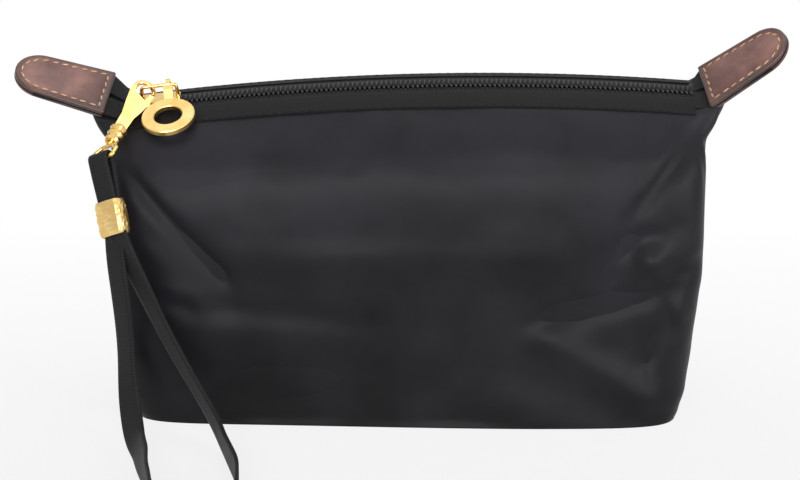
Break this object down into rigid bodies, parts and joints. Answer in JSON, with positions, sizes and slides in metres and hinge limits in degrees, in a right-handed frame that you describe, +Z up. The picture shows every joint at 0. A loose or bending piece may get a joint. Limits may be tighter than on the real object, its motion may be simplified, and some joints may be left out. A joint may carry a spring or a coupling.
{
  "type": "zipped cosmetic pouch",
  "caption": "Soft trapezoid zipped pouch with leather tabs on the zip's ends, a metal slider with a ring pull, and a wrist strap on a swivel clasp.",
  "frame": {"origin": "centre of the flat base, on the surface that the pouch stands on", "axes": "+X along the zip away from the slider, +Y from the strap side to the back, +Z up out of the zip"},
  "size_m": [0.2537, 0.1475, 0.1274],
  "materials": {
    "cloth": "woven satin",
    "lining_cloth": "woven matte",
    "zip_tape": "ribbed matte",
    "zip_coil": "semi-matt nylon",
    "leather": "smooth, slightly polished",
    "thread": "matte",
    "gold": "brushed gold plate",
    "gold_bright": "polished gold plate",
    "webbing": "smooth woven"
  },
  "bodies": {
    "pouch": {"front_panel": "cloth", "back_panel": "cloth", "lining": "lining_cloth", "front_tape": "zip_tape", "back_tape": "zip_tape", "front_coil": "zip_coil", "back_coil": "zip_coil", "front_band": "zip_tape", "back_band": "zip_tape", "left_tab_top": "leather", "left_tab_underside": "leather", "left_tab_stitches": "thread", "right_tab_top": "leather", "right_tab_underside": "leather", "right_tab_stitches": "thread"},
    "slider": {"slider_body": "gold_bright"},
    "pull": {"pull_ring": "gold"},
    "clasp": {"clasp_hook": "gold_bright", "trigger_pin": "gold_bright", "trigger_spring": "gold_bright", "strap_fold": "webbing", "crimp": "gold", "strap": "webbing"},
    "trigger": {"clasp_trigger": "gold_bright"},
    "swivel": {"swivel_eye": "gold_bright"}
  },
  "joints": [
    {"name": "slider_travel", "type": "hinge", "parent": "pouch", "child": "slider", "pos_m": [0.025, 0.16219, -0.72688], "axis": [0, 0.9816, 0.1908], "range_deg": [0, 11]},
    {"name": "ring_swing", "type": "hinge", "parent": "slider", "child": "pull", "pos_m": [-0.08265, 0.00001, 0.10746], "axis": [-0.9921, 0.024, -0.1233], "range_deg": [0, 150]},
    {"name": "clasp_swing", "type": "hinge", "parent": "slider", "child": "clasp", "pos_m": [-0.08739, -0.0004, 0.10584], "axis": [-0.9112, 0.4121, 0], "range_deg": [0, 40]},
    {"name": "clasp_trigger", "type": "hinge", "parent": "clasp", "child": "trigger", "pos_m": [-0.08803, -0.00648, 0.10122], "axis": [0.3358, -0.5918, 0.7328], "range_deg": [0, 18], "stiffness_Nm_per_rad": 0.01, "springref_deg": -11.46, "deforming": ["trigger_spring"]},
    {"name": "swivel_turn", "type": "hinge", "parent": "clasp", "child": "swivel", "pos_m": [-0.08685, 0.00079, 0.10656], "axis": [-0.361, -0.7994, -0.4802], "continuous": true, "deforming": ["strap_fold"]}
  ]
}
